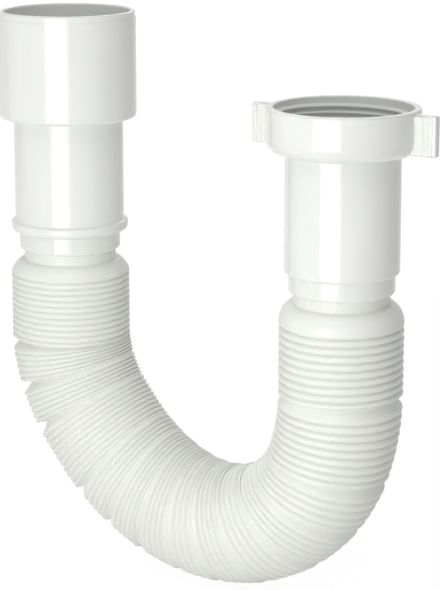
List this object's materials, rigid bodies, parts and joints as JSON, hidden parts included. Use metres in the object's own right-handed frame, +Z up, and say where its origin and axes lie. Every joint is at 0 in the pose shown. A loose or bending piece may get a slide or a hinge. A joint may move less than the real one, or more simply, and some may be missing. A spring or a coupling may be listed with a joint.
{
  "type": "flexible trap",
  "caption": "White plastic waste trap: a ribbed flexible hose bent into a U, with a winged union nut on the inlet tail and a stepped push-in spigot on the outlet.",
  "frame": {"origin": "centre of the union nut's mouth, on the inlet axis", "axes": "+Z up along the inlet axis, out of the nut's mouth; the hose bends in the XZ plane and the outlet stands on the -X side"},
  "size_m": [0.1706, 0.0532, 0.2049],
  "materials": {
    "rigid_plastic": "glossy moulded white",
    "hose_plastic": "satin blown white",
    "washer_rubber": "matte grey rubber"
  },
  "bodies": {
    "hose": {"inlet_tail": "rigid_plastic", "bellows": "hose_plastic", "sealing_washer": "washer_rubber"},
    "nut": {"union_nut": "rigid_plastic"},
    "outlet": {"outlet_spigot": "rigid_plastic"}
  },
  "joints": [
    {"name": "nut_turn", "type": "hinge", "parent": "hose", "child": "nut", "pos_m": [0, 0, 0], "axis": [0, 0, 1], "continuous": true},
    {"name": "outlet_swing", "type": "hinge", "parent": "hose", "child": "outlet", "pos_m": [-0.0556, 0, -0.136], "axis": [0, 1, 0], "range_deg": [-40, 20], "deforming": ["bellows"]}
  ]
}
